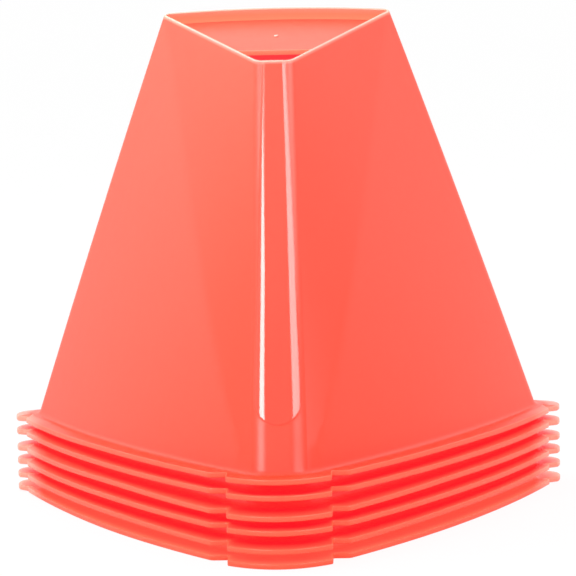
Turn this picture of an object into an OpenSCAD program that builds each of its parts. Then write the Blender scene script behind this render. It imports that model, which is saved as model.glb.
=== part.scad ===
// Stack of six sports marker cones.
// Each cone is one thin moulding: a three-sided hollow body whose front corner is cut flat and
// carries a raised band, a flange with three tabs, and a recessed plate inside a slanted rim.
// The cones nest, and each one lifts straight off the cone beneath it.

/* [Body] */
// Height of the rim's two side corners above the underside of the flange
cone_h = 178; // [150:1:240]
// Distance by which the rim's front corner lies lower than its side corners
rim_drop = 16; // [6:0.5:20]
// Half the width of the body across its side corners, at the rim
rim_half_w = 47.9; // [40:0.1:56]
// Half the width of the body across its side corners, at the flange
foot_half_w = 108.8; // [100:0.1:124]
// Thickness of the body's wall
wall = 1.1; // [0.8:0.05:1.2]
// Distance from the body's axis to the back face, at the rim
rim_back = 28.9; // [26:0.1:30]
// Distance from the body's axis to the back face, at the flange
foot_back = 67; // [66:0.1:69]
// Distance from the body's axis to the flat front corner, at the rim
rim_front = 40.1; // [38:0.1:42]
// Distance from the body's axis to the flat front corner, at the flange
foot_front = 108; // [106:0.1:112]
// How far the back face bows outward at the rim
rim_bow = 4.5; // [1:0.5:6]
// How far the back face bows outward at the flange
foot_bow = 7; // [4:0.5:9]
// How far each front face bows outward at the flange. At the rim it is straight
face_bow = 7.5; // [3:0.5:8.5]

/* [Corners] */
// Radius of the two side corners at the rim
rim_side_r = 3; // [2:0.5:5]
// Radius of the two side corners at the flange
foot_side_r = 12.8; // [10:0.2:14]
// Radius of the two edges of the flat front corner, at the rim
rim_front_r = 5; // [2:0.5:6]
// Radius of the two edges of the flat front corner, at the flange
foot_front_r = 8; // [4:0.5:12]
// Angle by which the front faces turn towards the front from an equal-sided plan
face_turn = 2; // [0:0.5:4]

/* [Front band] */
// Width of the raised band at the rim
band_rim_w = 8.5; // [5:0.5:9]
// Width of the raised band at its round lower end
band_end_w = 14.4; // [10:0.2:16]
// Height of the band's lower end above the flange
band_end_h = 18.6; // [10:0.2:40]
// Height of the band above the flat of the corner
band_h = 0.6; // [0.3:0.1:1]

/* [Rim and plate] */
// Depth of the plate below the rim
recess_depth = 5.1; // [4:0.1:7]
// Thickness of the plate
plate_t = 1.1; // [0.8:0.1:1.6]
// Depth of the plate from the inside of the back wall to its free front edge
plate_d = 39; // [25:0.5:50]
// Height of the lip under the free edge of the plate, the plate included
lip_h = 2.2; // [1.6:0.1:3]
// Gap between each end of the lip and the side wall
lip_end_gap = 3; // [2.5:0.1:5]
// Diameter of the moulding nub on the plate
nub_d = 2; // [1:0.1:4]
// Height of the moulding nub
nub_h = 0.5; // [0.2:0.1:1]

/* [Flange] */
// Thickness of the flange
flange_t = 2.2; // [1.6:0.1:3]
// Width of the flange beyond the back face, where the bowed edges start
flange_w = 7; // [5:0.5:12]
// How far each edge of the flange bows outward
flange_bow = 7; // [4:0.5:12]
// Half the width of the straight cut across the front corner
front_cut_half_w = 28; // [24:0.5:34]
// Half the width of the front tab
front_tab_half_w = 21; // [14:0.5:22]
// Length of the front tab's straight sides
front_tab_l = 10.7; // [4:0.1:14]
// How far the end of the front tab bows outward
front_tab_bow = 9; // [4:0.5:12]
// Half the width of the straight cut across a side corner
side_cut_half_w = 13; // [12:0.5:20]
// Half the width of a side tab
side_tab_half_w = 10; // [6:0.5:11]
// Length of a side tab's straight sides
side_tab_l = 6.3; // [3:0.1:10]
// How far the end of a side tab bows outward
side_tab_bow = 5.5; // [3:0.5:8]

/* [Stack] */
// Gap between the rim of a cone and the plate of the cone above it
nest_gap = 0.24; // [0.1:0.02:1]
// Least gap between the walls of two nested cones, measured level
side_gap = 0.06; // [0.04:0.02:0.3]

/* [Hidden] */

// Colour of the plastic
coral = [1, 0.45, 0.38];
// How far a cut runs past the face that it opens
overrun = 2;
// How far the plate reaches into the wall that carries it
bite = 0.5;
// Smallest radius of a corner on the inside
least_r = 0.6;
// Segments along half of the bowed back face, round a side corner, along a front face and round an
// edge of the flat front corner
back_steps = 4;
side_steps = 6;
face_steps = 6;
front_steps = 4;
// Segments along an edge of the flange and round the end of a tab
edge_steps = 14;
tab_steps = 12;

// The three corners of the flange lie 120 degrees apart, on the bisectors of an equal-sided
// triangle
corner_turn = 120;
half_corner = 30;
cot30 = 1 / tan(half_corner);

// Direction that the right front face looks in, as an angle below the +X axis and as a vector
face_angle = half_corner + face_turn;
face_dir = [cos(face_angle), -sin(face_angle)];

// Distance from the body's axis to a front face that touches the right side corner, whose widest
// point is at half_w
function face_reach(half_w, back, r) = [half_w - r, back - r] * face_dir + r;

// Centre of an arc of radius r that touches the right front face, at a given height up the plan
function face_centre(in, r, y) = [(in - r - face_dir[1] * y) / face_dir[0], y];
rim_in = face_reach(rim_half_w, rim_back, rim_side_r);
foot_in = face_reach(foot_half_w, foot_back, foot_side_r);

// The rim lies in one plane, which drops towards the front
rim_side_y = rim_back - rim_side_r;
rim_slope = rim_drop / (rim_side_y + rim_front);
rim_angle = atan(rim_slope);
function rim_z(y) = cone_h - rim_slope * (rim_side_y - y);

// Flange: distances from the axis to its edges, its corner cuts and the ends of its tabs
flange_in = foot_back + flange_w;
function cut_reach(half_w) = 2 * flange_in - half_w * cot30;
front_reach = cut_reach(front_cut_half_w) + front_tab_l + front_tab_bow;
back_reach = flange_in + flange_bow;

// The axis stands behind the origin, so that the origin is the middle of the flange's outline
axis_y = (front_reach - back_reach) / 2;

// Height by which each cone stands above the one beneath it. The plate of the upper cone rests over
// the rim of the lower one, at a depth measured square to the rim's plane. Where the walls are too
// steep for that, they set the height instead, by how far they spread from the rim to the flange.
stop_pitch = (recess_depth + plate_t + nest_gap) / cos(rim_angle);
least_spread = min(foot_in - rim_in, foot_back - rim_back);
wall_pitch = (wall + side_gap) * cone_h / least_spread;
pitch = max(stop_pitch, wall_pitch);

// Points of a shallow bow from [x0, 0] to [x1, 0] that stands h high in the middle
function bow(x0, x1, h, steps) =
    [for (i = [0:steps]) let (t = i / steps) [x0 + (x1 - x0) * t, 4 * h * t * (1 - t)]];

// Turns a plan point by an angle about the axis
function turned(p, a) = [p[0] * cos(a) - p[1] * sin(a), p[0] * sin(a) + p[1] * cos(a)];

// Points of a round corner: the centre lies on the bisector, and the arc turns clockwise
function corner_arc(centre, r, a0, a1, steps) =
    [for (i = [0:steps]) let (a = a0 + (a1 - a0) * i / steps) centre + r * [cos(a), sin(a)]];

// Right half of the body's plan, clockwise from the middle of the back to the flat front corner.
// One arc rounds the side corner, and one rounds the edge between the front face and the flat. The
// front face between them is a shallow bow, and both arcs stop where they touch it.
function half_plan(in, back, side_r, back_bow, front_bow, front, front_r) =
    let (
        side_c = face_centre(in, side_r, back - side_r),
        front_c = face_centre(in, front_r, front_r - front),
        lean = atan(4 * front_bow / norm(front_c - side_c)),
        side_arc = corner_arc(side_c, side_r, 90, lean - face_angle, side_steps),
        front_arc = corner_arc(front_c, front_r, -lean - face_angle, -90, front_steps),
        from = side_arc[side_steps],
        along = front_arc[0] - from
    )
    concat(
        [for (i = [0:back_steps - 1]) let (t = i / back_steps)
            [side_c[0] * t, back + back_bow * (1 - t * t)]],
        side_arc,
        [for (i = [1:face_steps - 1]) let (t = i / face_steps)
            from + along * t + face_dir * 4 * front_bow * t * (1 - t)],
        front_arc
    );

// Whole plan, clockwise from the middle of the back
function plan(half) =
    concat(half, [for (i = [len(half) - 1:-1:1]) [-half[i][0], half[i][1]]]);

// Radius of a corner once its wall is set in, which never closes to nothing
function inset_r(r, inset) = max(r - inset, least_r);

// Plan at the flange and at the rim, set in by a distance from the outside
function foot_plan(inset) = plan(half_plan(
    foot_in - inset, foot_back - inset, inset_r(foot_side_r, inset), foot_bow, face_bow,
    foot_front - inset, inset_r(foot_front_r, inset)));
function rim_plan(inset) = plan(half_plan(
    rim_in - inset, rim_back - inset, inset_r(rim_side_r, inset), rim_bow, 0,
    rim_front - inset, inset_r(rim_front_r, inset)));

function foot_ring(inset) = [for (p = foot_plan(inset)) [p[0], p[1], 0]];
function rim_ring(inset) = [for (p = rim_plan(inset)) [p[0], p[1], rim_z(p[1])]];

// Ring between or beyond two rings: share 0 is the first ring and share 1 is the second
function ring_at(a, b, share) = [for (i = [0:len(a) - 1]) a[i] + (b[i] - a[i]) * share];

// Closed solid through a list of rings, lowest first. Each strip of a wall is split along the line
// that leans the way of a front face's crease, from the side corner above to the front corner below.
module loft(rings) {
    n = len(rings[0]);
    m = len(rings);
    sides = [for (k = [0:m - 2], i = [0:n - 1])
        let (j = (i + 1) % n, lo = k * n, hi = lo + n, right = i < n / 2)
        each (right
            ? [[lo + i, lo + j, hi + i], [lo + j, hi + j, hi + i]]
            : [[lo + i, lo + j, hi + j], [lo + i, hi + j, hi + i]])];
    caps = [[for (i = [n - 1:-1:0]) i], [for (i = [0:n - 1]) (m - 1) * n + i]];
    polyhedron(points = [for (r = rings) each r], faces = concat(sides, caps));
}

// Outside of the body, from the underside of the flange to the rim
module body_form() {
    loft([foot_ring(0), rim_ring(0)]);
}

// Inside of the body, run on past both ends by a share of its height
module hollow_form(inset) {
    foot = foot_ring(inset);
    rim = rim_ring(inset);
    past = overrun / cone_h;
    loft([ring_at(foot, rim, -past), foot, rim, ring_at(foot, rim, 1 + past)]);
}

// One corner of the flange, on the bisector that points down the page: the straight cut with its tab
function flange_corner(cut_half_w, tab_half_w, tab_l, tab_bow) =
    let (cut = cut_reach(cut_half_w), end = cut + tab_l)
    concat(
        [[-cut_half_w, -cut], [-tab_half_w, -cut]],
        [for (p = bow(-tab_half_w, tab_half_w, tab_bow, tab_steps)) [p[0], -end - p[1]]],
        [[tab_half_w, -cut], [cut_half_w, -cut]]
    );

// Bowed edge of the flange from one corner's cut to the next, without its end points
function flange_edge(from, to) =
    let (d = to - from, l = norm(d), out = [d[1], -d[0]] / l)
    [for (i = [1:edge_steps - 1])
        let (t = i / edge_steps) from + d * t + out * 4 * flange_bow * t * (1 - t)];

module flange_outline() {
    front = flange_corner(front_cut_half_w, front_tab_half_w, front_tab_l, front_tab_bow);
    side = flange_corner(side_cut_half_w, side_tab_half_w, side_tab_l, side_tab_bow);
    right = [for (p = side) turned(p, corner_turn)];
    left = [for (p = side) turned(p, -corner_turn)];
    last = len(front) - 1;
    polygon(concat(
        front, flange_edge(front[last], right[0]),
        right, flange_edge(right[last], left[0]),
        left, flange_edge(left[last], front[0])
    ));
}

// Raised band on the flat front corner: a tapered strip with a round lower end, which lies on the
// line down the middle of the flat and is sunk into the wall
module band() {
    foot = [-foot_front, 0];
    rim = [-rim_front, rim_z(-rim_front)];
    run = norm(rim - foot);
    lean = atan2(rim[0] - foot[0], rim[1] - foot[1]);
    end_r = band_end_w / 2;
    end_c = (flange_t + band_end_h) / cos(lean) + end_r;
    translate([0, -foot_front, 0])
        rotate([90 - lean, 0, 0])
            translate([0, 0, -bite])
                linear_extrude(height = bite + band_h) {
                    translate([0, end_c]) circle(r = end_r, $fn = 48);
                    polygon([[-end_r, end_c], [end_r, end_c],
                             [band_rim_w / 2, run + overrun], [-band_rim_w / 2, run + overrun]]);
                }
}

// Everything below a plane just under the rim's, where the band stops
module below_rim() {
    translate([0, rim_side_y, cone_h - band_h]) rotate([rim_angle, 0, 0])
        translate([-foot_half_w, -2 * foot_front, -2 * cone_h])
            cube([2 * foot_half_w, 3 * foot_front, 2 * cone_h]);
}

// Places a child on the rim's plane, with its back edge at the inside of the back wall
module on_rim_plane() {
    translate([0, rim_back - wall, rim_z(rim_back - wall)]) rotate([rim_angle, 0, 0]) children();
}

// Recessed plate, which spans the back of the rim and ends in a lip at its free edge
module plate() {
    reach = rim_back + rim_bow;
    lip_z = -recess_depth - lip_h;
    intersection() {
        hollow_form(wall - bite);
        on_rim_plane() translate([-rim_half_w - overrun, -plate_d, -recess_depth - plate_t])
            cube([2 * (rim_half_w + overrun), plate_d + reach, plate_t]);
    }
    intersection() {
        hollow_form(wall + lip_end_gap);
        on_rim_plane() translate([-rim_half_w, -plate_d, lip_z])
            cube([2 * rim_half_w, plate_t, lip_h - plate_t + bite]);
    }
    on_rim_plane() translate([0, -plate_d / 2, -recess_depth - bite])
        cylinder(h = nub_h + bite, d = nub_d, $fn = 24);
}

module cone() {
    color(coral) translate([0, axis_y, 0]) {
        difference() {
            union() {
                linear_extrude(height = flange_t) flange_outline();
                body_form();
                intersection() {
                    band();
                    below_rim();
                }
            }
            hollow_form(wall);
        }
        plate();
    }
}

// Places a cone at its level in the stack, counted from the bottom
module at_level(level) {
    translate([0, 0, level * pitch]) cone();
}

module bottom_cone() at_level(0);
module second_cone() at_level(1);
module third_cone() at_level(2);
module fourth_cone() at_level(3);
module fifth_cone() at_level(4);
module top_cone() at_level(5);

bottom_cone();
second_cone();
third_cone();
fourth_cone();
fifth_cone();
top_cone();
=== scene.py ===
# %% [markdown]
# # A stack of sports marker cones
# Six coral cones are nested in each other. Each is one thin plastic moulding: a three-sided hollow
# body, a flange with three tabs, and a small plate set into a slanted rim. The packed CAD model gives
# every size and every moving body. This lesson builds a finer skin for each cone in the same place,
# gives it a glossy, slightly translucent plastic, and lights it as in a product photograph.

# %% Load the packed model
import math

import bpy
import numpy as np
from mathutils import Matrix, Vector


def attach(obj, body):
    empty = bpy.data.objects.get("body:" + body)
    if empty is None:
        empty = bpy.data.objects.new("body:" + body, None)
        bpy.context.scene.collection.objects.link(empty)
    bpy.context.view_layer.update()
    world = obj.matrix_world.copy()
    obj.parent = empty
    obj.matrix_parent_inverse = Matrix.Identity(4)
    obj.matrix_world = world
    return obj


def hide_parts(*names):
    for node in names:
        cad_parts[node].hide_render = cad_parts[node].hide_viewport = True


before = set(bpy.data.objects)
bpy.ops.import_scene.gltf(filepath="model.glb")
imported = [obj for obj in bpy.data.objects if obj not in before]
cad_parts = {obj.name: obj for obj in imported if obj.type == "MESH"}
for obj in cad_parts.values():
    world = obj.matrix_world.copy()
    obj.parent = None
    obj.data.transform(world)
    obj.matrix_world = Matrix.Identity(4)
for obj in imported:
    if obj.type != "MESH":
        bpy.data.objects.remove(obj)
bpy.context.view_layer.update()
NODES = ["bottom_cone", "second_cone", "third_cone", "fourth_cone", "fifth_cone", "top_cone"]

# %% [markdown]
# ## The camera
# The photograph looks at the front corner from far away, a little from above, and it is turned
# clockwise by about a degree. A long lens gives the same weak perspective.

# %% Camera
MM = 0.001
CAMERA_DISTANCE = 1500 * MM
CAMERA_RISE = math.radians(7.549)
CAMERA_TURN = math.radians(-1.329)
CAMERA_ROLL = math.radians(-1.277)
LENS, SENSOR = 224.4, 36
AIM = Vector((3.32, 0, 98.63)) * MM


def camera_matrix():
    forward = Vector((
        math.sin(CAMERA_TURN) * math.cos(CAMERA_RISE),
        math.cos(CAMERA_TURN) * math.cos(CAMERA_RISE),
        -math.sin(CAMERA_RISE),
    ))
    right = forward.cross(Vector((0, 0, 1))).normalized()
    up = right.cross(forward)
    turn = Matrix((right, up, -forward)).transposed().to_4x4()
    place = Matrix.Translation(AIM - forward * CAMERA_DISTANCE)
    return place @ turn @ Matrix.Rotation(CAMERA_ROLL, 4, "Z")


camera = bpy.data.objects.new("camera", bpy.data.cameras.new("camera"))
bpy.context.scene.collection.objects.link(camera)
camera.data.sensor_width = SENSOR
camera.data.lens = LENS
camera.matrix_world = camera_matrix()
bpy.context.scene.camera = camera
print("camera at", [round(v, 3) for v in camera.matrix_world.translation])

# %% [markdown]
# ## Shader maths
# A plastic is easier to read as a sum than as a picture of nodes. This small class holds one output
# socket, and adds a Math node for each operator, so that 1 - mask works as written.


# %% Socket arithmetic
class Socket:
    """One output socket of a node tree. Without an output, it only adds nodes to the tree."""

    def __init__(self, tree, output=None):
        self.tree = tree
        self.output = output

    def node(self, kind, settings=None, inputs=None):
        """Adds a node, with its settings first and then the values or the links of its sockets."""
        made = self.tree.nodes.new(kind)
        for name, value in (settings or {}).items():
            setattr(made, name, value)
        for name, value in (inputs or {}).items():
            if isinstance(value, Socket):
                self.tree.links.new(value.output, made.inputs[name])
            else:
                made.inputs[name].default_value = value
        return made

    def math(self, operation, *values):
        made = self.node("ShaderNodeMath", {"operation": operation}, dict(enumerate(values)))
        return Socket(self.tree, made.outputs[0])

    def __add__(self, other):
        return self.math("ADD", self, other)

    def __sub__(self, other):
        return self.math("SUBTRACT", self, other)

    def __rsub__(self, other):
        return self.math("SUBTRACT", other, self)

    def __mul__(self, other):
        return self.math("MULTIPLY", self, other)

    __radd__ = __add__
    __rmul__ = __mul__


print("reflected operators:", [name for name in vars(Socket) if name.startswith("__r")])

# %% [markdown]
# ## The plastic
# The cones are polyethylene with a coral pigment. Light enters the thin walls, scatters and comes out
# redder, so the gaps between the flanges glow deep red instead of going black. Subsurface scattering
# with a long red radius gives a part of this, and a share of translucent shader lets light through.
# The rest is a painted glow that is stored on the mesh and read here, and a painted light stored the
# same way mixes the base colour towards a light coral. The surface has a soft gloss, with a faint
# cloudiness, a fine grain and a shallow ripple, and the polished band has a clear coat as well.

# %% Coral plastic
CORAL = (1.0, 0.077, 0.027, 1)
CORAL_CLOUD = (1.0, 0.088, 0.033, 1)
PAINTED_LIGHT_CORAL = (1.0, 0.62, 0.5, 1)
THROUGH_RED = (1.0, 0.022, 0.04, 1)
THROUGH_SHARE = 0.25
CLOUD = {"Scale": 14, "Detail": 3}
GRAIN = {"Scale": 420, "Detail": 2}
RIPPLE = {"Scale": 160, "Detail": 1}
RIPPLE_BUMP = {"Strength": 0.12, "Distance": 0.0004}
CLOUD_SHARE = 0.8
PLAIN_ROUGH, CLOUD_ROUGH, GRAIN_ROUGH, POLISH_SMOOTHS = 0.31, 0.08, 0.03, 0.2
CORAL_FINISH = {
    "IOR": 1.5,
    "Subsurface Weight": 0.2,
    "Subsurface Scale": 0.003,
    "Subsurface Radius": (1.0, 0.3, 0.3),
    "Coat Roughness": 0.07,
    "Coat IOR": 1.5,
    # Emission Strength lets the stored painted glow show.
    "Emission Strength": 1.0,
}


def coral_plastic(name, seed):
    material = bpy.data.materials.new(name)
    material.use_nodes = True
    tree = material.node_tree
    shader = tree.nodes["Principled BSDF"]
    for socket, value in CORAL_FINISH.items():
        shader.inputs[socket].default_value = value
    start = Socket(tree)
    place = Socket(tree, start.node("ShaderNodeTexCoord").outputs["Object"])

    def noise(size):
        made = start.node("ShaderNodeTexNoise", {"noise_dimensions": "4D"},
                          {"Vector": place, "W": seed, **size})
        return Socket(tree, made.outputs[0])

    def stored(name, output):
        made = start.node("ShaderNodeAttribute", {"attribute_name": name})
        return Socket(tree, made.outputs[output])

    def mix(factor, a, b):
        made = start.node("ShaderNodeMix", {"data_type": "RGBA"}, {0: factor, 6: a, 7: b})
        return Socket(tree, made.outputs[2])

    cloud = noise(CLOUD)
    grain = noise(GRAIN)
    coral = mix(cloud * CLOUD_SHARE + grain * (1 - CLOUD_SHARE), CORAL, CORAL_CLOUD)
    # The stored painted light mixes the base colour towards a light coral where light is painted on.
    coral_and_painted_light = mix(stored("painted_light", "Fac"), coral, PAINTED_LIGHT_CORAL)
    shine = stored("polish", "Fac")
    rough = cloud * CLOUD_ROUGH + grain * GRAIN_ROUGH + PLAIN_ROUGH - shine * POLISH_SMOOTHS
    ripple = start.node("ShaderNodeBump", None, {**RIPPLE_BUMP, "Height": noise(RIPPLE)})
    tree.links.new(coral_and_painted_light.output, shader.inputs["Base Color"])
    tree.links.new(stored("glow", "Color").output, shader.inputs["Emission Color"])
    tree.links.new(rough.output, shader.inputs["Roughness"])
    tree.links.new(shine.output, shader.inputs["Coat Weight"])
    tree.links.new(ripple.outputs[0], shader.inputs["Normal"])
    through = start.node("ShaderNodeBsdfTranslucent", None, {"Color": THROUGH_RED})
    mixed = start.node("ShaderNodeMixShader", None, {0: THROUGH_SHARE})
    tree.links.new(shader.outputs[0], mixed.inputs[1])
    tree.links.new(through.outputs[0], mixed.inputs[2])
    tree.links.new(mixed.outputs[0], tree.nodes["Material Output"].inputs[0])
    return material


print("coral on its own is", CORAL[:3], "and through the wall", THROUGH_RED[:3])

# %% [markdown]
# ## The sizes
# These are the named values of the CAD source, in millimetres, because the skin has to lie on the
# solids. Only the front corner's radius at the foot differs: 9.5 here and 8 there, because the broad
# soft highlights below the band need a rounder corner. Distances in the plan are measured from the
# cone's axis, and the front is -Y.

# %% Sizes shared with the CAD source
CONE_H = 178
RIM_DROP = 16
RIM_HALF_W, FOOT_HALF_W = 47.9, 108.8
WALL = 1.1
RIM_BACK, FOOT_BACK = 28.9, 67
RIM_FRONT, FOOT_FRONT = 40.1, 108
RIM_BOW, FOOT_BOW = 4.5, 7
FACE_BOW = 7.5
RIM_SIDE_R, FOOT_SIDE_R = 3, 12.8
RIM_FRONT_R, FOOT_FRONT_R = 5, 9.5
FACE_ANGLE = math.radians(32)
FACE_DIR = np.array((math.cos(FACE_ANGLE), -math.sin(FACE_ANGLE)))
RECESS_DEPTH = 5.1
PLATE_T = 1.1
PLATE_D = 39
LIP_H = 2.2
LIP_END_GAP = 3
NUB_D, NUB_H = 2, 0.5
FLANGE_T = 2.2
FLANGE_IN = FOOT_BACK + 7
FLANGE_BOW = 7
NEST_GAP = 0.24
LEAST_R = 0.6


def face_reach(half_w, back, r):
    """Distance from the axis to a front face, for the body's half width and the reach of its back."""
    return float(np.dot((half_w - r, back - r), FACE_DIR)) + r


RIM_IN = face_reach(RIM_HALF_W, RIM_BACK, RIM_SIDE_R)
FOOT_IN = face_reach(FOOT_HALF_W, FOOT_BACK, FOOT_SIDE_R)
RIM_SIDE_Y = RIM_BACK - RIM_SIDE_R
RIM_SLOPE = RIM_DROP / (RIM_SIDE_Y + RIM_FRONT)
RIM_ANGLE = math.atan(RIM_SLOPE)
PITCH = (RECESS_DEPTH + PLATE_T + NEST_GAP) / math.cos(RIM_ANGLE)


def rim_z(y):
    return CONE_H - RIM_SLOPE * (RIM_SIDE_Y - y)


print("pitch of the stack", round(PITCH, 3), "mm, rim tilted by", round(math.degrees(RIM_ANGLE), 2))

# %% [markdown]
# ## The plan of the body
# One half of the plan has five stretches: half of the bowed back, the round side corner, the front
# face, the round edge of the cut front corner, and half of that flat. A station is a stretch and a
# share along it. The same stations on the rim and on the foot are joined by straight lines, which is
# how a drafted moulding is shaped.

# %% Plan of the body at the rim and at the foot
BACK, SIDE, FACE, EDGE, FLAT = range(5)


def face_centre(reach, r, y):
    """Centre of a round corner that a front face touches, at the given distance back."""
    return np.array(((reach - r - FACE_DIR[1] * y) / FACE_DIR[0], y))


def around(centre, r, start, end, share):
    """Points of an arc, at shares of the way from its start to its end."""
    angle = start + (end - start) * share
    return centre + r * np.stack((np.cos(angle), np.sin(angle)), axis=-1)


def half_plan(stretch, share, reach, back, side_r, bow, face_bow, front, front_r):
    """Points of the right half of a plan, for any mix of stretches and shares along them."""
    side = face_centre(reach, side_r, back - side_r)
    edge = face_centre(reach, front_r, front_r - front)
    lean = math.atan(2 * bow / side[0])
    face_lean = math.atan(4 * face_bow / np.linalg.norm(edge - side))
    s = share[:, None]
    back_end = side + side_r * np.array((math.sin(lean), math.cos(lean)))
    along_back = np.hstack((back_end[0] * s, back_end[1] + (back + bow - back_end[1]) * (1 - s * s)))
    side_end, edge_start = face_lean - FACE_ANGLE, -face_lean - FACE_ANGLE
    face_start = around(side, side_r, side_end, 0, 0)
    face_end = around(edge, front_r, edge_start, 0, 0)
    choices = (
        along_back,
        around(side, side_r, math.pi / 2 - lean, side_end, share),
        face_start + (face_end - face_start) * s + FACE_DIR * face_bow * 4 * s * (1 - s),
        around(edge, front_r, edge_start, -math.pi / 2, share),
        np.hstack((edge[0] * (1 - s), np.full_like(s, -front))),
    )
    points = np.zeros((len(share), 2))
    for number, choice in enumerate(choices):
        points[stretch == number] = choice[stretch == number]
    return points


def foot_plan(stretch, share, inset):
    return half_plan(stretch, share, FOOT_IN - inset, FOOT_BACK - inset,
                     max(FOOT_SIDE_R - inset, LEAST_R), FOOT_BOW, FACE_BOW,
                     FOOT_FRONT - inset, max(FOOT_FRONT_R - inset, LEAST_R))


def rim_plan(stretch, share, inset):
    return half_plan(stretch, share, RIM_IN - inset, RIM_BACK - inset,
                     max(RIM_SIDE_R - inset, LEAST_R), RIM_BOW, 0,
                     RIM_FRONT - inset, max(RIM_FRONT_R - inset, LEAST_R))


FACE_ENDS = np.array((FACE, FACE)), np.array((0.0, 1.0))
print("front face at the foot from", *foot_plan(*FACE_ENDS, 0).round(1))

# %% [markdown]
# ## The outline of the flange
# The flange is a triangle with bowed edges. Each corner is cut straight across and carries a tab
# whose end is bowed. A moulding has no sharp corner anywhere, so each corner of the outline is rounded,
# and the two outer tabs more than the front one.

# %% Corners of the flange
FRONT_CORNER = {"cut": 28, "tab": 21, "length": 10.7, "bow": 9, "end_r": 1.2}
SIDE_CORNER = {"cut": 13, "tab": 10, "length": 6.3, "bow": 5.5, "end_r": 3.0}
ROOT_R = 0.8
CUT_R = 3.0
TAB_END_POINTS = 9
COT30 = math.sqrt(3)


def cut_reach(half_w):
    """How far from the axis a corner is cut, for half the width of the cut."""
    return 2 * FLANGE_IN - half_w * COT30


def half_corner(cut, tab, length, bow, end_r):
    """Right half of a corner that points down the page, from its middle: points and their radii."""
    reach = cut_reach(cut)
    share = np.linspace(0, 1, TAB_END_POINTS)
    end = [(tab * s, -(reach + length + bow * (1 - s * s))) for s in share]
    points = end + [(tab, -reach), (cut, -reach)]
    radii = [0] * (len(end) - 1) + [end_r, ROOT_R, CUT_R]
    return points, radii


print("the front corner is cut", round(cut_reach(FRONT_CORNER["cut"]), 1), "mm from the axis")

# %% Outline of the flange
FRONT_EDGE_POINTS, BACK_EDGE_POINTS = 13, 15
MOST_OF_EDGE = 0.45


def turned(points, degrees):
    """Turns points of the plan about the axis, anticlockwise seen from above."""
    a = math.radians(degrees)
    return np.asarray(points) @ np.array(((math.cos(a), math.sin(a)), (-math.sin(a), math.cos(a))))


def bowed(start, end, count):
    """Points between the two ends of an edge that bows outward."""
    start, end = np.array(start), np.array(end)
    along = end - start
    out = np.array((along[1], -along[0])) / np.linalg.norm(along)
    share = np.linspace(0, 1, count + 2)[1:-1, None]
    return start + along * share + out * 4 * FLANGE_BOW * share * (1 - share)


def rounded(points, radii, steps=4):
    """Replaces each corner that has a radius by an arc. The first and last points stay."""
    made = [points[0]]
    for before, point, after, r in zip(points, points[1:], points[2:], radii[1:]):
        if r == 0:
            made.append(point)
            continue
        back, on = before - point, after - point
        back_l, on_l = np.linalg.norm(back), np.linalg.norm(on)
        half = math.acos(np.clip(np.dot(back, on) / back_l / on_l, -1, 1)) / 2
        reach = min(r / math.tan(half), MOST_OF_EDGE * back_l, MOST_OF_EDGE * on_l)
        a, b = point + back / back_l * reach, point + on / on_l * reach
        for s in np.linspace(0, 1, steps + 1):
            made.append((1 - s) ** 2 * a + 2 * s * (1 - s) * point + s * s * b)
    made.append(points[-1])
    return np.array(made)


def half_outline():
    """Right half of the flange's outline, from the middle of the front to the middle of the back."""
    front, front_r = half_corner(**FRONT_CORNER)
    side, side_r = half_corner(**SIDE_CORNER)
    left_half = [(-x, y) for x, y in side[::-1]]
    corner = turned(left_half + side[1:], 120)
    corner_r = side_r[::-1] + side_r[1:]
    far_cut = np.array((-corner[-1][0], corner[-1][1]))
    front_edge = bowed(front[-1], corner[0], FRONT_EDGE_POINTS)
    back_edge = bowed(corner[-1], far_cut, BACK_EDGE_POINTS)
    middle = (corner[-1] + far_cut) / 2 + np.array((0, FLANGE_BOW))
    back_edge = np.vstack((back_edge[:BACK_EDGE_POINTS // 2], middle))
    points = np.vstack((front, front_edge, corner, back_edge))
    radii = front_r + [0] * len(front_edge) + corner_r + [0] * len(back_edge)
    return rounded(list(points), radii)[::-1]


OUTLINE = half_outline()
print("flange reaches", OUTLINE.max(0).round(2), OUTLINE.min(0).round(2))

# %% [markdown]
# ## Stations round the cone
# The body needs close stations on its round corners, and the flange needs one on each point of its
# outline. Both are star-shaped seen from the axis, so a direction from the axis names a point on
# each. The two sets are merged by that direction, and the right half is mirrored.


# %% Stations
STATION_COUNTS = {BACK: 16, SIDE: 12, FACE: 44, EDGE: 16, FLAT: 13}
FINE_COUNT = 300
LAST_KEY = 5 - 1e-9
LEAST_APART = 0.002


def direction(points):
    """Angle from the back towards the front, seen from the axis."""
    return np.arctan2(points[:, 0], points[:, 1])


def merged_stations():
    """Stretch and share of each station of the right half, and the flange's outline there.

    A key is the number of the stretch plus the share along it. Stations that nearly meet a point of
    the outline are left out.
    """
    coarse = [k + np.linspace(0, 1, count, endpoint=False) for k, count in STATION_COUNTS.items()]
    fine = [k + np.linspace(0, 1, FINE_COUNT, endpoint=k == FLAT) for k in STATION_COUNTS]
    fine_key = np.concatenate(fine)
    fine_at = direction(foot_plan(fine_key.astype(int).clip(0, FLAT), fine_key % 1, 0))
    fine_at[-1] = math.pi
    at = np.interp(np.concatenate(coarse + [[LAST_KEY]]), fine_key, fine_at)
    outline_at = direction(OUTLINE)
    outline_at[0], outline_at[-1] = 0, math.pi
    apart = np.abs(at[:, None] - outline_at[None, :]).min(1)
    at = np.sort(np.concatenate((at[apart > LEAST_APART], outline_at)))
    key = np.interp(at, fine_at, fine_key)
    key[-1] = LAST_KEY
    ring = np.stack([np.interp(at, outline_at, OUTLINE[:, c]) for c in range(2)], axis=1)
    return key.astype(int), key % 1, ring


STRETCH, SHARE, FLANGE_RING = merged_stations()
HALF = len(STRETCH)


def mirrored(points):
    """Adds the left half: the first and last stations lie on the middle line and aren't doubled."""
    left = points[-2:0:-1].copy()
    left[:, 0] *= -1
    return np.vstack((points, left))


RING = mirrored(FLANGE_RING)
COUNT = len(RING)
print(COUNT, "stations round each cone")

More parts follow.
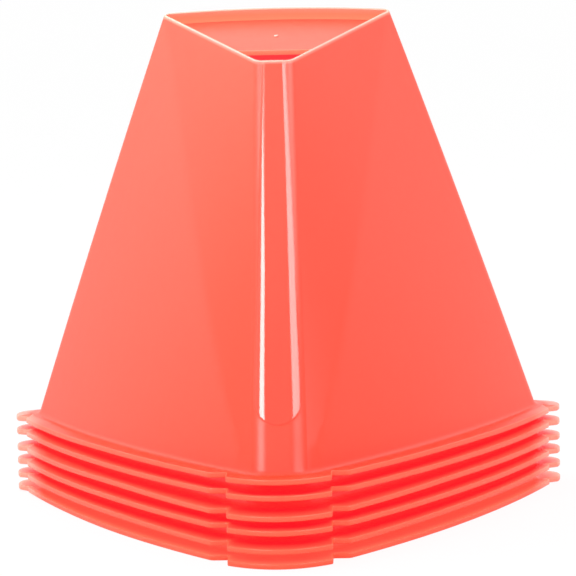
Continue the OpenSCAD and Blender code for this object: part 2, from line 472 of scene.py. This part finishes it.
# %% [markdown]
# ## The faces with their crease
# A front face is straight at the rim and bows outward at the flange. Its foot and its rim don't lie
# in one plane either, and the real mould bends it along the line from the rim's side corner to the
# foot of the front corner, which shows as a faint crease. The skin has both: a bow that fades with
# the height, and a short ramp where one plane turns into the other. The photograph also shows the
# side corners swelled by about a millimetre, from halfway up down to the foot.

# %% Points of the wall
CREASE_W = 0.022
LEAST_W = 1e-6
SWELL_FOOT = 1.1
SWELL_MIDDLE = 0.65
SWELL_SHARE = np.select([STRETCH == BACK, STRETCH == SIDE, STRETCH == FACE], [SHARE, 1, 1 - SHARE], 0)


def wall_half(t, inset):
    """Right half of the ring at share t of the height, on the wall's outside or set in from it."""
    def at_rim(plan):
        return np.column_stack((plan, rim_z(plan[:, 1])))

    foot = np.column_stack((foot_plan(STRETCH, SHARE, inset), np.zeros(HALF)))
    rim = at_rim(rim_plan(STRETCH, SHARE, inset))
    side_foot, front_foot = np.column_stack((foot_plan(*FACE_ENDS, inset), np.zeros(2)))
    side_rim, front_rim = at_rim(rim_plan(*FACE_ENDS, inset))
    points = foot + (rim - foot) * t
    u = SHARE[STRETCH == FACE]
    x = u + t - 1
    w = np.maximum(CREASE_W * 4 * u * (1 - u), LEAST_W)
    ramp = np.where(x > w, x, np.where(x < -w, 0, (x + w) ** 2 / (4 * w)))
    twist = front_rim - side_rim - front_foot + side_foot
    points[STRETCH == FACE] = (side_foot + u[:, None] * (front_foot - side_foot)
                               + t * (side_rim - side_foot) + ramp[:, None] * twist)
    swell = FACE_BOW * 4 * u * (1 - u) * (1 - t)
    points[STRETCH == FACE, :2] += swell[:, None] * FACE_DIR
    points[:, 0] += SWELL_SHARE * (SWELL_FOOT * (1 - t) + SWELL_MIDDLE * 4 * t * (1 - t))
    return points


print("half width at the foot", wall_half(0, 0)[:, 0].max().round(2), "mm")

# %% [markdown]
# ## The raised band
# A flat band runs down the cut front corner and ends in a half circle. It has two shoulders, narrow
# at the rim and wide at the foot. Each starts at a crease and curves away from it, so it shows one
# long highlight with a sharp inner edge. The band is made by pushing the wall's points out, so it is
# one skin with the body. It reaches its full height a quarter of the way up.

# %% Band on the front corner
BAND_H = 0.6
BAND_END_H = 0.3
BAND_STEP_W = 0.8
BAND_END_Z = FLANGE_T + 18.6
BAND_FLAT = (3.4, 5.1)
BAND_OUTER = (4.9, 9.8)
BAND_CREASE = 0.5
BAND_RISE = 0.25
FLAT_LEAN = math.atan((FOOT_FRONT - RIM_FRONT) / rim_z(-RIM_FRONT))
FLAT_NORMAL = np.array((0, -math.cos(FLAT_LEAN), math.sin(FLAT_LEAN)))


def band_profile(points):
    """Height of the band at each point, and how far inside its outline the point lies."""
    up = points[:, 2] / math.cos(FLAT_LEAN)
    full = rim_z(-RIM_FRONT) / math.cos(FLAT_LEAN)
    end_up = BAND_END_Z / math.cos(FLAT_LEAN) + BAND_OUTER[1]
    rise = np.clip((up - end_up) / (full - end_up), 0, 1)
    flat = BAND_FLAT[1] + (BAND_FLAT[0] - BAND_FLAT[1]) * rise
    outer = BAND_OUTER[1] + (BAND_OUTER[0] - BAND_OUTER[1]) * rise
    off = np.abs(points[:, 0])
    across = np.clip((outer - off) / (outer - flat), 0, 1)
    shoulder = BAND_CREASE * across + (1 - BAND_CREASE) * (2 - across) * across
    inside = outer - np.hypot(off, np.minimum(up - end_up, 0))
    inside = np.where(points[:, 1] < 0, inside, -1)
    top = BAND_END_H + (BAND_H - BAND_END_H) * np.clip(rise / BAND_RISE, 0, 1)
    height = top * np.minimum(shoulder, np.clip(inside / BAND_STEP_W, 0, 1))
    return height, inside


def with_band(points):
    height, _ = band_profile(points)
    return points + FLAT_NORMAL * height[:, None]


print("the band leans back by", round(math.degrees(FLAT_LEAN), 1), "degrees")

# %% [markdown]
# ## One skin for one cone
# Rings of the same number of points go once round the thickness of the moulding: over the rim, down
# the outside, out over the flange, round its edge, back underneath and up the inside. Joined in
# order they make one closed skin with rounded edges and a fillet at the foot of the body.

# %% Rings of the wall
RIM_STEPS = 5
NEAR_FOOT, NEAR_RIM = 0.06, 0.95


def wall_ring(t, inset):
    """Ring all the way round at share t of the height, with the band on the outside."""
    half = wall_half(t, inset)
    return mirrored(with_band(half) if inset == 0 else half)


def rim_rings():
    """Round top of the wall, from the inside to the outside."""
    outer, inner = wall_ring(1, 0), wall_ring(1, WALL)
    down = wall_ring(NEAR_RIM, 0) - outer
    down /= np.linalg.norm(down, axis=1)[:, None]
    across = (outer - inner) / 2
    r = np.linalg.norm(across, axis=1)[:, None]
    centre = (outer + inner) / 2 + down * r
    turns = np.linspace(math.pi, 0, RIM_STEPS + 1)
    return [centre + across * math.cos(a) - down * r * math.sin(a) for a in turns]


def outer_shares():
    """Shares of the height for the outside, closer together round the lower end of the band."""
    plain = np.linspace(0.99, 0.19, 40)
    fine = np.linspace(0.18, 0.11, 34)
    low = np.linspace(0.1, 0.066, 3)
    return np.concatenate((plain, fine, low))


print(len(rim_rings()), "rings over the rim,", len(outer_shares()), "down the outside")

# %% Fillets at the foot
FILLET_R = 2.4
FILLET_IN_R = 1.6
FILLET_STEPS = 6
FILLET_ROOM = 0.7
NEIGHBOURS = range(-7, 8)


def smooth_room(room):
    """Least room near each station, evened out, so that a tab doesn't widen the fillet in a step."""
    least = np.min([np.roll(room, k) for k in NEIGHBOURS], axis=0)
    return np.mean([np.roll(least, k) for k in NEIGHBOURS], axis=0)


def fillet(inset, z, largest):
    """Hollow curve from the wall, outside or inside, to a level face of the flange."""
    foot = wall_ring(z / CONE_H, inset)
    foot[:, 2] = z
    up = wall_ring(NEAR_FOOT, inset) - foot
    up /= np.linalg.norm(up, axis=1)[:, None]
    out = RING - foot[:, :2]
    room = np.linalg.norm(out, axis=1)
    r = np.minimum(largest, FILLET_ROOM * smooth_room(room))[:, None]
    start = foot + up * r
    end = foot + np.column_stack((out / room[:, None] * r, np.zeros(COUNT)))
    share = np.linspace(0, 1, FILLET_STEPS + 1)
    return [(1 - s) ** 2 * start + 2 * s * (1 - s) * foot + s * s * end for s in share]


print("fillets of", FILLET_R, "mm outside and", FILLET_IN_R, "mm inside, with less where room is short")

# %% Rings of the flange
FLANGE_EDGE_R = 0.45


def outline_inward():
    """Unit vectors that point into the flange at each station of its outline."""
    along = np.roll(RING, -1, axis=0) - np.roll(RING, 1, axis=0)
    along /= np.linalg.norm(along, axis=1)[:, None]
    inward = np.stack((along[:, 1], -along[:, 0]), axis=1)
    return inward * np.sign((inward * -RING).sum(1))[:, None]


INWARD = outline_inward()


def flat_ring(plan, z):
    return np.column_stack((plan, np.full(len(plan), z)))


def top_rings(start):
    """Top of the flange, from the end of the fillet to its edge."""
    rim = flat_ring(RING + INWARD * FLANGE_EDGE_R, FLANGE_T)
    return [start + (rim - start) * s for s in (0.25, 0.5, 0.75, 1)]


def edge_rings():
    """Rounded edge of the flange, from its top to its underside."""
    rings = []
    for top, turns in ((True, (30, 60, 90)), (False, (90, 60, 30, 0))):
        for a in np.radians(turns):
            drop = FLANGE_EDGE_R * (1 - math.cos(a))
            plan = RING + INWARD * FLANGE_EDGE_R * (1 - math.sin(a))
            rings.append(flat_ring(plan, FLANGE_T - drop if top else drop))
    return rings


def under_rings(start, end):
    """Underside of the flange, between its edge and the fillet inside the body."""
    return [start + (end - start) * s for s in (0.33, 0.67)]


print(len(edge_rings()), "rings round the edge of the flange")

# %% All rings in order
INNER_TOP = 0.985
INNER_RINGS = 25


def skin_rings():
    """Part, place in the part and share of the height of every ring, in order, and their points."""
    outside = fillet(0, FLANGE_T, FILLET_R)
    inside = fillet(WALL, 0, FILLET_IN_R)[::-1]
    edge = edge_rings()
    heights = {"outer": outer_shares(), "inner": np.linspace(NEAR_FOOT, INNER_TOP, INNER_RINGS)}
    parts = {
        "rim": rim_rings(),
        "outer": [wall_ring(t, 0) for t in heights["outer"]],
        "fillet": outside,
        "top": top_rings(outside[-1]),
        "edge": edge,
        "under": under_rings(edge[-1], inside[0]),
        "hollow": inside,
        "inner": [wall_ring(t, WALL) for t in heights["inner"]],
    }
    named = [(part, k / (len(rings) - 1), heights[part][k] if part in heights else 0)
             for part, rings in parts.items() for k in range(len(rings))]
    return named, np.array([ring for rings in parts.values() for ring in rings])


PARTS, SKIN = skin_rings()
print("skin of", SKIN.shape[0], "rings,", SKIN.shape[0] * SKIN.shape[1], "points")

# %% [markdown]
# ## The recessed plate
# A plate closes the back half of the rim, a little below it, and the rim of the next cone stops
# against its underside. It is cut from the inside of the wall, reaches slightly into it, and ends in
# a small lip that covers its free front edge. A round nub in its middle is where the plastic entered
# the mould.

# %% Planes below the rim
LEAST_STEP = 0.2
ON_MIDDLE = 1e-6


def rim_frame():
    """Origin on the rim's plane at the inside of the back wall, with its forward and up vectors."""
    y = RIM_BACK - WALL
    forward = np.array((0, -math.cos(RIM_ANGLE), -math.sin(RIM_ANGLE)))
    up = np.array((0, -math.sin(RIM_ANGLE), math.cos(RIM_ANGLE)))
    return np.array((0, y, rim_z(y))), forward, up


def at_depth(depth, inset):
    """Right half of the wall's inside on a plane below the rim, as width and distance forward."""
    origin, forward, up = rim_frame()
    foot, rim = wall_half(0, inset), wall_half(1, inset)
    low, high = (foot - origin) @ up, (rim - origin) @ up
    share = ((-depth - low) / (high - low))[:, None]
    points = foot + (rim - foot) * share
    return np.column_stack((points[:, 0], (points - origin) @ forward))


def cross_loop(depth, inset, front, back=None):
    """Closed loop of the plate at one depth: across the free edge, and round the back or straight."""
    half = at_depth(depth, inset)
    front_x = np.interp(front, half[:, 1], half[:, 0])
    if back is None:
        keep = half[half[:, 1] < front - LEAST_STEP]
        right = np.vstack((keep, (front_x, front)))
    else:
        right = np.array(((front_x, back), (front_x, front)))
    left = right[::-1] * (-1, 1)
    if right[0, 0] < ON_MIDDLE:
        left = left[:-1]
    origin, forward, up = rim_frame()
    loop = np.vstack((right, left))
    return origin - up * depth + np.outer(loop[:, 0], (1, 0, 0)) + np.outer(loop[:, 1], forward)


RECESS_W = 2 * float(at_depth(RECESS_DEPTH, WALL)[:, 0].max())
print("the recess is", round(RECESS_W, 1), "mm wide at the plate")

# %% Plate, lip and nub
PLATE_BITE = 0.35
PLATE_EDGE_R = 0.35
CORNER_MIDDLE = 0.3
LIP_DROP, LIP_OVER = 0.02, 0.06
NUB_PROFILE = ((1, -0.3), (1, 0.35), (0.92, 0.8), (0.7, 1), (0.3, 1))
NUB_POINTS = 24


def loft(loops):
    """Closed solid through loops of equal length."""
    n = len(loops[0])
    faces = [list(range(n))[::-1]]
    for k in range(len(loops) - 1):
        lo, hi = k * n, (k + 1) * n
        faces += [(lo + i, lo + (i + 1) % n, hi + (i + 1) % n, hi + i) for i in range(n)]
    faces.append([(len(loops) - 1) * n + i for i in range(n)])
    return np.vstack(loops), faces


def plate_loft():
    r = PLATE_EDGE_R
    top, bottom = RECESS_DEPTH, RECESS_DEPTH + PLATE_T
    inset = WALL - PLATE_BITE
    middle = CORNER_MIDDLE * r
    profile = ((top, r), (top + middle, middle), (top + r, 0), (bottom, 0))
    return loft([cross_loop(depth, inset, PLATE_D - pull) for depth, pull in profile])


def lip_loft():
    r = PLATE_EDGE_R
    top, bottom = RECESS_DEPTH + LIP_DROP, RECESS_DEPTH + LIP_H
    inset = WALL + LIP_END_GAP
    back = PLATE_D - PLATE_T
    middle = CORNER_MIDDLE * r
    profile = ((top, r), (top + middle, middle), (top + r, 0),
               (bottom - r, 0), (bottom - middle, middle), (bottom, r))
    front = PLATE_D + LIP_OVER
    return loft([cross_loop(depth, inset, front - pull, back + pull) for depth, pull in profile])


def nub_loft():
    origin, forward, up = rim_frame()
    centre = origin + forward * PLATE_D / 2 - up * RECESS_DEPTH
    turns = np.linspace(0, 2 * math.pi, NUB_POINTS, endpoint=False)
    circle = np.outer(np.cos(turns), (1, 0, 0)) + np.outer(np.sin(turns), forward)
    return loft([centre + circle * r * NUB_D / 2 + up * NUB_H * h for r, h in NUB_PROFILE])


print("points of plate, lip and nub:", [len(made()[0]) for made in (plate_loft, lip_loft, nub_loft)])

# %% [markdown]
# ## Six cones, stacked
# All six come from the same mould, but thin flanges never stay quite level: the photograph shows
# their tabs a little above or below their even spacing. Each cone gets its own small warp, which
# fades out where the flange meets the body.

# %% Warp of the flanges
# For each cone, how far its front, left and right tabs stand above level, in millimetres.
WARP = {
    "bottom_cone": (0.0, 0.6, 0.0),
    "second_cone": (-0.75, -0.4, -0.1),
    "third_cone": (0.0, -1.0, -0.6),
    "fourth_cone": (-0.9, -1.7, -1.2),
    "fifth_cone": (0.8, -1.0, -1.2),
    "top_cone": (0.6, -1.6, -1.5),
}
TAB_ANGLES = np.radians((180, -60, 60))
WARP_START = 3
WARP_LEAST = 2
WARP_NARROWS = 1.35
NEARLY_LEVEL = 0.01


def warped(points, warp):
    """Bends the flange up or down near each tab, in proportion to the distance from the body."""
    at = np.arctan2(points[..., 0], points[..., 1])
    out = np.hypot(points[..., 0], points[..., 1])
    lift = np.zeros(at.shape)
    for height, tab in zip(warp, TAB_ANGLES):
        away = np.abs((at - tab + math.pi) % (2 * math.pi) - math.pi)
        lift += height * np.cos(np.minimum(away * WARP_NARROWS, math.pi / 2)) ** 2
    foot = wall_ring(0, 0)
    body = np.hypot(foot[:, 0], foot[:, 1])
    reach = np.hypot(RING[:, 0], RING[:, 1])
    share = np.clip((out - body - WARP_START) / (reach - body - WARP_START).clip(WARP_LEAST), 0, 1)
    flange = points[..., 2] < FLANGE_T + NEARLY_LEVEL
    moved = points.copy()
    moved[..., 2] += lift * share * flange
    return moved


print("largest warp", max(abs(height) for warp in WARP.values() for height in warp), "mm")

# %% [markdown]
# ## Polish and painted light over the surface
# Three values are stored on the points of the mesh, because they follow the moulding and not a pattern
# in space. Polish marks the band, whose part of the mould was polished. Painted light lightens the base
# colour: a painted highlight along the rim and on the nub, and painted light on the tabs, the flange
# edges and tops, the plate, the lip, the outer facets of the faces and the faces towards the rim, which
# look lighter than the walls. Glow is painted light as well: it stands for light that comes through the
# thin plastic after more bounces than a render follows. It is red in the gaps between the flanges and
# inside the body, and salmon where more light gets in: above the lowest flange, on the plate's lip and
# on the back wall of the recess.

# %% Levels of painted light and glow
NO_GLOW = np.array((0, 0, 0, 1))
GAP_GLOW = np.array((0.5, 0.006, 0.02, 1))
LOWEST_GLOW = np.array((0.5, 0.085, 0.06, 1))
INSIDE_GLOW = np.array((0.7, 0.055, 0.07, 1))
LIP_GLOW = np.array((0.7, 0.2, 0.11, 1))
EDGE_LIGHT = np.array((0, 0.08, 0.04, 0))
BACK_LIGHT = np.array((0.1, 0.26, 0.15, 0))
FRONT_EDGE_MORE = 0.4
BACK_GLOW_FROM, BACK_CORNER_MORE = 0.9, 1.6
INSIDE_GLOW_TO = 0.95
BACK_FROM, BACK_FADE = 5, 10
UNDER_FROM = 0.6
# Painted highlight along the rim: full on the top of the lip and half on its sides.
RIM_PAINTED_HIGHLIGHT, RIM_PAINTED_HIGHLIGHT_SIDES = 1.0, 0.5
# Painted light that makes the faces lighter towards the rim.
HIGH_PAINTED_LIGHT = 0.08
# Painted light on the outer facets of the front faces, round the sides and back and on the flange, so
# that the crease shows.
OUTER_FACET_PAINTED_LIGHT = 0.018
# Painted light on the flange edges.
EDGE_PAINTED_LIGHT = 0.03
# Painted light on the tops and edges of the outer tabs.
TAB_PAINTED_LIGHT = 0.6
TAB_HALF_ANGLE, TAB_FADE = math.radians(14), math.radians(8)
FACET_FADE = 0.05
POLISH_FADE = 0.5
# The polish, the painted light and the glow of the small pieces: the plate and the lip are painted
# lighter, and the nub gets a painted highlight.
COVERED_PLATE_POLISH_AND_LIGHT = (0, 0.12, INSIDE_GLOW)
TOP_PLATE_POLISH_AND_LIGHT = (0, 0.12, NO_GLOW)
LIP_POLISH_AND_LIGHT = (0, 0.3, LIP_GLOW)
NUB_POLISH_AND_LIGHT = (1, 1, NO_GLOW)
print("red glow in a gap", GAP_GLOW[:3], "and inside", INSIDE_GLOW[:3])


# %% Where the tabs and the outer facets are
def side_tab_mask():
    """1 on the two outer tabs, 0 on the rest of the flange."""
    at = np.arctan2(RING[:, 0], RING[:, 1])
    away = np.minimum(np.abs(at - TAB_ANGLES[1]), np.abs(at - TAB_ANGLES[2]))
    return np.clip((TAB_HALF_ANGLE - away) / TAB_FADE, 0, 1)


def outer_facet(t):
    """1 on the lower triangle of a front face and round the sides and the back, 0 further in."""
    past = SHARE + t - 1
    fade = np.clip(0.5 - past / FACET_FADE, 0, 1)
    half = np.select([STRETCH == FACE, STRETCH > FACE], [fade, 0], 1)
    return np.concatenate((half, half[-2:0:-1]))


print(int((side_tab_mask() > 0).sum()), "stations on the outer tabs")


# %% Polish, painted light and glow of the skin
def skin_polish_and_light(gap_glow):
    """Polish, painted light and glow for every point of the skin, with the glow of the gap over its
    flange.
    """
    tab = side_tab_mask()
    polish, painted_light, glow = [], [], []
    back = np.clip((SKIN[-1, :, 1] - BACK_FROM) / BACK_FADE, 0, 1)
    front = np.clip(RING[:, 1] / RING[:, 1].min(), 0, 1) ** 2
    covered = gap_glow[0] > 0
    for (part, place, t), ring in zip(PARTS, SKIN):
        shine, light = np.zeros((2, COUNT))
        gap, under, inside, edge, behind = np.zeros((5, COUNT))
        if part == "rim":
            # Painted highlight on the rim.
            light += RIM_PAINTED_HIGHLIGHT * min(1, 4 * (1 - abs(2 * place - 1)) + RIM_PAINTED_HIGHLIGHT_SIDES)
            edge += back
        elif part == "outer":
            shine += np.clip(band_profile(ring)[1] / POLISH_FADE, 0, 1)
            # Painted light: the outer facets lighter, and the faces lighter towards the rim.
            light += OUTER_FACET_PAINTED_LIGHT * outer_facet(t) + HIGH_PAINTED_LIGHT * t
        elif part == "fillet":
            # Painted light on the fillet's outer facets.
            light += OUTER_FACET_PAINTED_LIGHT * outer_facet(0)
            gap += 1
        elif part == "top":
            # Painted light on the whole flange top, more on the outer tabs.
            light += OUTER_FACET_PAINTED_LIGHT + TAB_PAINTED_LIGHT * tab * math.sqrt(place)
            gap += 1
            edge += place * covered
        elif part == "edge":
            # Painted light on the flange edge, more on the outer tabs.
            light += EDGE_PAINTED_LIGHT + TAB_PAINTED_LIGHT * tab
            under += max(0, place - UNDER_FROM)
            edge += (1 - place) * (1 + FRONT_EDGE_MORE * front)
        elif part in ("under", "hollow"):
            under += 1
        else:
            behind += back * (t > BACK_GLOW_FROM)
            inside += (1 - behind) * (t < INSIDE_GLOW_TO)
            behind *= BACK_CORNER_MORE if t < INSIDE_GLOW_TO else 1
        polish.append(shine)
        painted_light.append(light)
        glow.append(np.outer(gap, gap_glow) + np.outer(under, GAP_GLOW) + np.outer(inside, INSIDE_GLOW)
                    + np.outer(edge, EDGE_LIGHT) + np.outer(behind, BACK_LIGHT))
    return np.concatenate(polish), np.concatenate(painted_light), np.vstack(glow)


print("polished share of the points", round(float(skin_polish_and_light(NO_GLOW)[0].mean()), 3))

# %% [markdown]
# ## Putting one cone together
# The rings are joined into four-sided faces, and the plate, the lip and the nub are added to the same
# mesh, because they are one moulding. The surface is shaded smooth, except where it turns by more
# than the mould's own curves do.

# %% Faces of the skin
def skin_mesh(warp):
    """Points and faces of the skin, whose last ring joins its first."""
    rings = warped(SKIN, warp)
    m, n = rings.shape[:2]
    index = np.arange(m * n).reshape(m, n)
    lo, hi = index, np.roll(index, -1, axis=0)
    quads = np.stack((lo, hi, np.roll(hi, -1, axis=1), np.roll(lo, -1, axis=1)), axis=-1)
    return rings.reshape(-1, 3), quads.reshape(-1, 4).tolist()


print(SKIN.shape[0] * SKIN.shape[1], "faces on one skin")

# %% Build one cone
FRONT_REACH = -OUTLINE[:, 1].min()
BACK_REACH = OUTLINE[:, 1].max()
AXIS_Y = (FRONT_REACH - BACK_REACH) / 2
SMOOTH_UP_TO = math.radians(38)
GAP_GLOWS = {NODES[0]: LOWEST_GLOW, NODES[-1]: NO_GLOW}


def build_cone(node, level, material):
    points, faces = skin_mesh(WARP[node])
    polish, painted_light, glow = skin_polish_and_light(GAP_GLOWS.get(node, GAP_GLOW))
    plate_polish_and_light = TOP_PLATE_POLISH_AND_LIGHT if node == NODES[-1] else COVERED_PLATE_POLISH_AND_LIGHT
    extras = ((plate_loft(), plate_polish_and_light), (lip_loft(), LIP_POLISH_AND_LIGHT), (nub_loft(), NUB_POLISH_AND_LIGHT))
    # Each small piece brings its polish, its painted light and its painted glow.
    for (extra_points, extra_faces), polish_and_light in extras:
        base = len(points)
        points = np.vstack((points, extra_points))
        faces += [[base + i for i in face] for face in extra_faces]
        polish = np.append(polish, np.full(len(extra_points), polish_and_light[0]))
        painted_light = np.append(painted_light, np.full(len(extra_points), polish_and_light[1]))
        glow = np.vstack((glow, np.tile(polish_and_light[2], (len(extra_points), 1))))
    points = points + (0, AXIS_Y, level * PITCH)
    mesh = bpy.data.meshes.new(node + "_moulding")
    mesh.from_pydata((points * MM).tolist(), [], faces)
    mesh.attributes.new("polish", "FLOAT", "POINT").data.foreach_set("value", polish)
    mesh.attributes.new("painted_light", "FLOAT", "POINT").data.foreach_set("value", painted_light)
    mesh.attributes.new("glow", "FLOAT_COLOR", "POINT").data.foreach_set("color", glow.ravel())
    mesh.shade_smooth()
    mesh.set_sharp_from_angle(angle=SMOOTH_UP_TO)
    mesh.materials.append(material)
    cone = bpy.data.objects.new(node + "_moulding", mesh)
    bpy.context.scene.collection.objects.link(cone)
    return cone


print("the cones' axis lies", round(AXIS_Y, 2), "mm behind the middle")

# %% [markdown]
# ## The stack
# Each cone stands one pitch above the one beneath it. It rides on its own body, so it lifts with its
# joint, and it stands for the plain solid of the CAD model. Each has its own seed in the plastic's
# noise, because no two mouldings have the same clouds.

# %% Place the six cones
SEED_STEP = 3.7
for level, node in enumerate(NODES):
    plastic = coral_plastic("coral_plastic_" + node, seed=level * SEED_STEP)
    cone = build_cone(node, level, plastic)
    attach(cone, node)
    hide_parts(node)
    print(cone.name, len(cone.data.polygons), "faces")

# %% [markdown]
# ## The studio
# The object stands on a plain white floor in a white room, which lights it nearly evenly, with a
# little more light from the left and from behind. Camera and glossy rays see the floor as white, and
# the floor still takes a soft shadow.


# %% Floor
WHITE_PAINT = (0.86, 0.86, 0.86, 1)
FLOOR_WHITE = 0.92
FLOOR_SIZE = 12
FLOOR_Z = -0.0002


def white_surface(name, share):
    """Paint that shows a share of pure white to the camera, and takes shadow on the rest."""
    material = bpy.data.materials.new(name)
    material.use_nodes = True
    tree = material.node_tree
    tree.nodes.clear()
    start = Socket(tree)
    path = start.node("ShaderNodeLightPath")
    seen = start.math("MAXIMUM", Socket(tree, path.outputs["Is Camera Ray"]),
                      Socket(tree, path.outputs["Is Glossy Ray"]))
    seen = start.math("MAXIMUM", seen, Socket(tree, path.outputs["Is Transmission Ray"]))
    paint = start.node("ShaderNodeBsdfDiffuse", None, {"Color": WHITE_PAINT})
    light = start.node("ShaderNodeEmission", None, {"Color": (1, 1, 1, 1), "Strength": 1})
    mixed = start.node("ShaderNodeMixShader", None, {0: seen * share})
    tree.links.new(paint.outputs[0], mixed.inputs[1])
    tree.links.new(light.outputs[0], mixed.inputs[2])
    end = start.node("ShaderNodeOutputMaterial")
    tree.links.new(mixed.outputs[0], end.inputs[0])
    return material


bpy.ops.mesh.primitive_plane_add(size=FLOOR_SIZE, location=(0, 0, FLOOR_Z))
floor = bpy.context.object
floor.name = "floor"
floor.data.materials.append(white_surface("floor_white", FLOOR_WHITE))
print("floor", FLOOR_SIZE, "m wide")

# %% Room
ROOM_LEVEL = 1.1
ROOM_SIDE = 0.18
ROOM_BACK = 0.25
world = bpy.data.worlds.new("white_room")
bpy.context.scene.world = world
world.use_nodes = True
sky = Socket(world.node_tree)
room = world.node_tree.nodes["Background"]
towards = Socket(world.node_tree, sky.node("ShaderNodeTexCoord").outputs["Generated"])
ray = sky.node("ShaderNodeSeparateXYZ", None, {0: towards})
right, behind = Socket(world.node_tree, ray.outputs["X"]), Socket(world.node_tree, ray.outputs["Y"])
camera_ray = Socket(world.node_tree, sky.node("ShaderNodeLightPath").outputs["Is Camera Ray"])
soft = ROOM_LEVEL - right * ROOM_SIDE + behind * ROOM_BACK
shown = camera_ray + (1 - camera_ray) * soft
world.node_tree.links.new(shown.output, room.inputs["Strength"])
room.inputs["Color"].default_value = (1, 1, 1, 1)
print("room level", ROOM_LEVEL, "from all sides, and white to the camera")

# %% [markdown]
# ## Soft boxes
# The two long highlights on the band come from a box at each front corner. These two show only in the
# gloss, so their light doesn't flatten the faces. Three wide boxes light the sides and the back, and
# a small one close to the upper left makes that face fade towards its foot.


# %% Soft boxes
AIM_HEIGHT = 0.09


def soft_box(name, turn, rise, distance, width, height, glow, fill=True, shine=True):
    """Area light that faces the object from a direction: turn from the front, rise above level."""
    lamp = bpy.data.lights.new(name, "AREA")
    lamp.shape = "RECTANGLE"
    lamp.size = width
    lamp.size_y = height
    lamp.energy = glow * math.pi * width * height
    box = bpy.data.objects.new(name, lamp)
    bpy.context.scene.collection.objects.link(box)
    a, e = math.radians(turn), math.radians(rise)
    out = Vector((math.sin(a) * math.cos(e), -math.cos(a) * math.cos(e), math.sin(e)))
    box.location = Vector((0, 0, AIM_HEIGHT)) + out * distance
    box.rotation_euler = out.to_track_quat("Z", "Y").to_euler()
    box.visible_diffuse = fill
    box.visible_glossy = shine
    print(name, "at", [round(v, 2) for v in box.location])


soft_box("left_key", -33, 29, 1.3, 0.6, 0.46, 13, fill=False)
soft_box("right_key", 48, 38, 1.3, 0.95, 0.7, 6, fill=False)
soft_box("left_side", -125, 42, 1.3, 0.9, 0.9, 0.6)
soft_box("left_near", -75, 60, 0.36, 0.25, 0.25, 3.5, shine=False)
soft_box("right_side", 125, 42, 1.3, 0.9, 0.9, 1.0)
soft_box("top_back", 180, 60, 1.5, 1.4, 0.6, 0.6)

# %% [markdown]
# ## Finish
# The render uses the Standard view transform.

# %% View transform
scene = bpy.context.scene
scene.view_settings.view_transform = "Standard"
